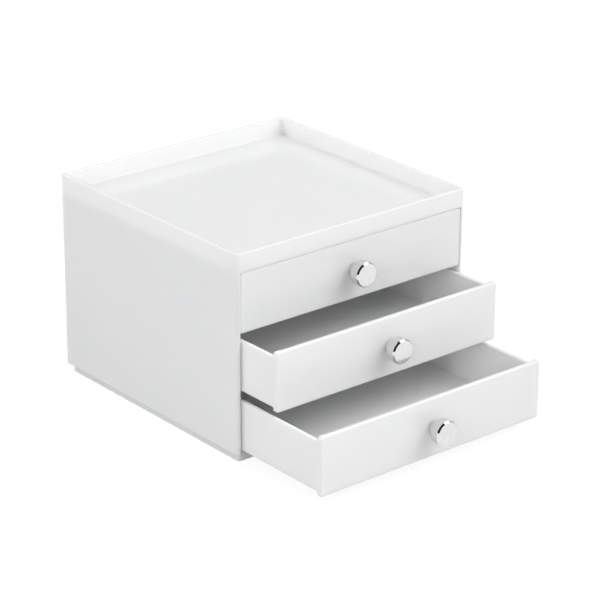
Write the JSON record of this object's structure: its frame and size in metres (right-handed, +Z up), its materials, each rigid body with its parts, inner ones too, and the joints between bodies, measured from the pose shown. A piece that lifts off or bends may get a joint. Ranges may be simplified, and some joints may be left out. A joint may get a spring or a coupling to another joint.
{
  "type": "stackable drawer box",
  "caption": "White desktop box with pull-out drawers on round chrome knobs, a shallow rimmed tray on top and a stepped base that nests in the rim of the box below.",
  "frame": {"origin": "middle of the underside, in the plane of the base's lower edge", "axes": "+Z up; +X to the right, seen from the front; the drawers pull out towards -Y"},
  "size_m": [0.165, 0.2433, 0.124],
  "materials": {
    "casing_plastic": "glossy white moulded polystyrene",
    "drawer_plastic": "glossy white moulded polystyrene",
    "knob_chrome": "polished chrome plate",
    "screw_steel": "zinc-plated steel"
  },
  "bodies": {
    "casing": {"casing": "casing_plastic"},
    "top_drawer": {"top_drawer": "drawer_plastic", "top_knob": "knob_chrome", "top_knob_screw": "screw_steel"},
    "middle_drawer": {"middle_drawer": "drawer_plastic", "middle_knob": "knob_chrome", "middle_knob_screw": "screw_steel"},
    "bottom_drawer": {"bottom_drawer": "drawer_plastic", "bottom_knob": "knob_chrome", "bottom_knob_screw": "screw_steel"}
  },
  "joints": [
    {"name": "top_drawer_slide", "type": "slide", "parent": "casing", "child": "top_drawer", "axis": [0, -1, 0], "range_m": [0, 0.12]},
    {"name": "middle_drawer_slide", "type": "slide", "parent": "casing", "child": "middle_drawer", "axis": [0, -1, 0], "range_m": [-0.031, 0.089]},
    {"name": "bottom_drawer_slide", "type": "slide", "parent": "casing", "child": "bottom_drawer", "axis": [0, -1, 0], "range_m": [-0.068, 0.052]}
  ]
}
